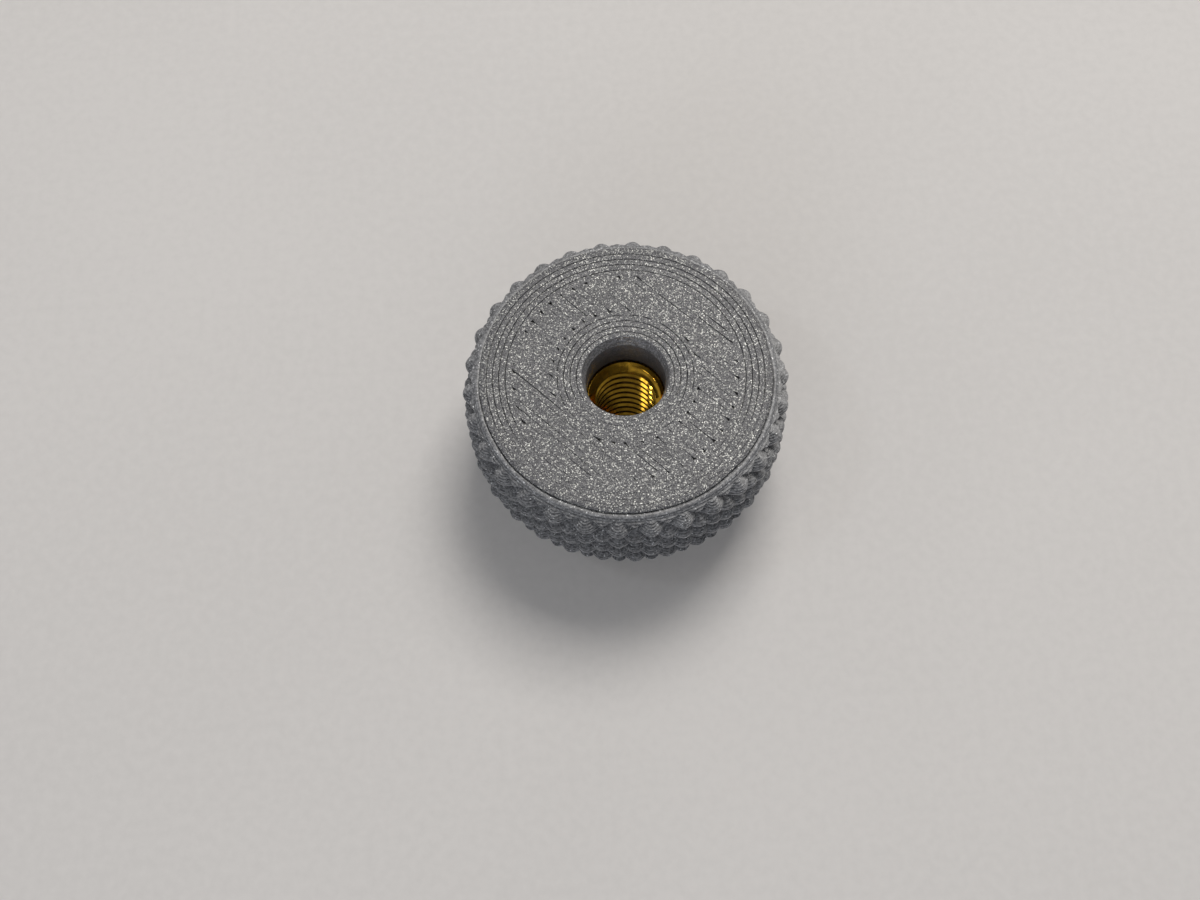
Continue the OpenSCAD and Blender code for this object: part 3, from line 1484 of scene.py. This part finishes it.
@dataclass(frozen=True)
class PaperFinish:
    """The plain sheet that the nut stands on."""

    name: str = "paper"
    colour: Colour = (0.66, 0.64, 0.63, 1)
    patch: float = 0.02          # soft patches in a millimetre
    patch_grain: float = 1.2     # and the finer ones in them
    patch_range: Span = (0.3, 0.7)       # of their mask, from darkest to lightest
    patch_level: Span = (0.97, 1.03)     # brightness of those two
    roughness: float = 0.9
    specular: float = 0.2

    def build(self, mottle: bpy.types.NodeTree) -> bpy.types.Material:
        """Build the material, with a faint unevenness.

        Args:
            mottle: The group that makes the soft patches.

        Returns:
            The material.
        """
        material, nodes = new_material(self.name)
        patches = nodes.add(
            "ShaderNodeGroup",
            node_tree=mottle,
            in_Place=nodes.millimetres(),
            in_Patch=self.patch,
            in_Grain=self.patch_grain,
        )
        tone = nodes.spread(patches.outputs[0], self.patch_range, self.patch_level)
        shader = nodes.add(
            "ShaderNodeBsdfPrincipled",
            in_Base_Color=nodes.multiply(self.colour, tone),
            in_Roughness=self.roughness,
            in_Specular_IOR_Level=self.specular,
        )
        nodes.add("ShaderNodeOutputMaterial", in_Surface=shader.outputs[0])
        return material


BED_FACE = PlasticFinish(
    name="glitter_plastic_bed_face",
    colour=(0.202, 0.201, 0.212, 1),
    shade=(0.028, 0.028, 0.033, 1),
    spark=(0.98, 0.98, 0.92, 1),
    roughness=0.5,
    flake_share=0.32,
    flake_size=0.58,
    flakes_per_mm=11.0,
    grain=9.0,
    grain_depth=0.03,
)
PRINTED_SIDE = PlasticFinish(
    name="glitter_plastic_side",
    colour=(0.270, 0.272, 0.282, 1),
    shade=(0.105, 0.106, 0.114, 1),
    spark=(0.85, 0.86, 0.88, 1),
    roughness=0.36,
    flake_share=0.11,
    flake_size=0.50,
    flakes_per_mm=9.0,
    grain=5.0,
    grain_depth=0.012,
)
# Painted shade: a darker copy of the plastic, with dimmer flakes, stands in for the shade inside
# the hole.
SHADED_HOLE_WALL = PlasticFinish(
    name="glitter_plastic_hole_wall_painted_shade",
    colour=(0.135, 0.138, 0.148, 1),
    shade=(0.095, 0.097, 0.106, 1),
    spark=(0.30, 0.30, 0.30, 1),
    roughness=0.38,
    flake_share=0.06,
    flake_size=0.35,
    flakes_per_mm=9.0,
    grain=5.0,
    grain_depth=0.008,
)
BRIGHT_BRASS = BrassFinish(
    name="turned_brass",
    colour=(0.92, 0.54, 0.06, 1),
    tarnish_and_shade=(0.50, 0.27, 0.03, 1),
    roughness=0.09,
)
# Painted shade: darker brass on the lands stands in for the shadow and dark reflections under the
# thread's crests.
SHADED_LAND_BRASS = BrassFinish(
    name="brass_lands_painted_shade",
    colour=(0.30, 0.18, 0.05, 1),
    tarnish_and_shade=(0.18, 0.10, 0.03, 1),
    roughness=0.3,
)


# ---------------------------------------------------------------- the studio


@dataclass(frozen=True)
class Softbox:
    """A square lamp that looks at the nut."""

    name: str
    direction: Triple            # from the nut
    size: float
    watts: float
    colour: Triple
    distance: float = 450

    def build(self, aim: Vector) -> None:
        """Place the lamp, looking at a point.

        Args:
            aim: The point, in metres.
        """
        lamp = bpy.data.lights.new(self.name, "AREA")
        lamp.size = self.size * MM
        lamp.energy = self.watts
        lamp.color = self.colour
        holder = bpy.data.objects.new(self.name, lamp)
        bpy.context.scene.collection.objects.link(holder)
        away = Vector(self.direction).normalized()
        holder.location = aim + away * self.distance * MM
        holder.rotation_euler = away.to_track_quat("Z", "Y").to_euler()


@dataclass
class Studio:
    """Floor, lamps, surrounding light and camera."""

    floor_size: float = 3000
    floor_gap: float = 0.02          # the sheet lies this far under the hub's end face
    surround_low: float = 0.66       # light from round about
    surround_high: float = 0.11      # light from overhead
    lens: float = 50.36
    clip: Span = (0.001, 10)         # nearest and farthest that the camera sees, in metres
    camera_distance: float = 137.04
    camera_tilt: float = 66.665      # above the horizon
    camera_roll: float = -3.293
    face_right: float = 2.078        # how far right of the view's middle the face's middle lies
    face_up: float = 6.078           # and how far above it
    lamps: tuple[Softbox, ...] = (
        Softbox("main", (0.25, 0.50, 1.0), size=220, watts=1.34, colour=(1.0, 0.97, 0.92)),
        Softbox("fill", (-0.33, -0.88, 0.26), size=240, watts=0.40, colour=(0.80, 0.88, 1.0)),
        Softbox("side", (-0.541, -0.031, 0.84), size=35, watts=0.07, colour=(0.85, 0.92, 1.0)),
        Softbox("window", (-0.366, -0.211, 0.906), size=90, watts=0.05, colour=(1.0, 0.96, 0.88)),
    )

    def floor(self, finish: bpy.types.Material) -> None:
        """Lay the sheet that the nut stands on.

        Args:
            finish: The sheet's finish.
        """
        clear_selection()
        bpy.ops.mesh.primitive_plane_add(
            size=self.floor_size * MM, location=(0, 0, -self.floor_gap * MM)
        )
        sheet = name_active("floor")
        sheet.data.materials.append(finish)

    def surroundings(self) -> None:
        """Light the scene softly from all round."""
        world = bpy.data.worlds.new("surroundings")
        bpy.context.scene.world = world
        world.use_nodes = True
        nodes = Nodes(world.node_tree)
        way = nodes.add("ShaderNodeTexCoord").outputs["Generated"]
        height = nodes.add("ShaderNodeSeparateXYZ", in_0=way).outputs[2]
        level = nodes.spread(height, (0, 1), (self.surround_low, self.surround_high))
        glow = nodes.add("ShaderNodeBackground", in_0=(1, 1, 1, 1), in_1=level)
        nodes.add("ShaderNodeOutputWorld", in_Surface=glow.outputs[0])

    def camera(self) -> None:
        """Place the camera so that the face's middle has its place in the view."""
        tilt, roll = math.radians(self.camera_tilt), math.radians(self.camera_roll)
        right = Vector((1, 0, 0))
        up = Vector((0, math.sin(tilt), math.cos(tilt)))
        back = Vector((0, -math.cos(tilt), math.sin(tilt)))
        level_right = right * math.cos(roll) + up * math.sin(roll)
        level_up = up * math.cos(roll) - right * math.sin(roll)
        aim = Vector((0, 0, TOTAL_H))
        aim -= level_right * self.face_right + level_up * self.face_up
        lens = bpy.data.cameras.new("camera")
        lens.lens = self.lens
        lens.clip_start, lens.clip_end = self.clip
        holder = bpy.data.objects.new("camera", lens)
        bpy.context.scene.collection.objects.link(holder)
        place = (aim + back * self.camera_distance) * MM
        turn = Matrix((level_right, level_up, back)).transposed().to_4x4()
        holder.matrix_world = Matrix.Translation(place) @ turn
        bpy.context.scene.camera = holder

    def build(self, paper: bpy.types.Material) -> None:
        """Set up everything that isn't the nut.

        Args:
            paper: The finish of the sheet on the floor.
        """
        self.camera()
        self.floor(paper)
        self.surroundings()
        for lamp in self.lamps:
            lamp.build(Vector((0, 0, TOTAL_H * MM)))
        bpy.context.scene.view_settings.view_transform = "Standard"


def main() -> None:
    """Build the nut's pieces and the studio, and report each piece."""
    logging.basicConfig(level=logging.INFO, format="%(name)s: %(message)s")
    mottle, glitter = mottle_group(), glitter_group()
    Studio().build(PaperFinish().build(mottle))

    printed = PrintedKnob()
    knob = printed.build()
    plastics = [finish.build(mottle, glitter) for finish in (PRINTED_SIDE, BED_FACE, SHADED_HOLE_WALL)]
    printed.dress(knob, *plastics)
    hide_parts("knob")

    turned = BrassInsert()
    insert = turned.build()
    turned.dress(insert, *(finish.build(mottle) for finish in (BRIGHT_BRASS, SHADED_LAND_BRASS)))
    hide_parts("threaded_insert")

    for piece in (knob, insert):
        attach(piece, BODY)
        triangles = sum(len(polygon.vertices) - 2 for polygon in piece.data.polygons)
        LOG.info("%s: %d triangles", piece.name, triangles)


if __name__ == "__main__":
    main()
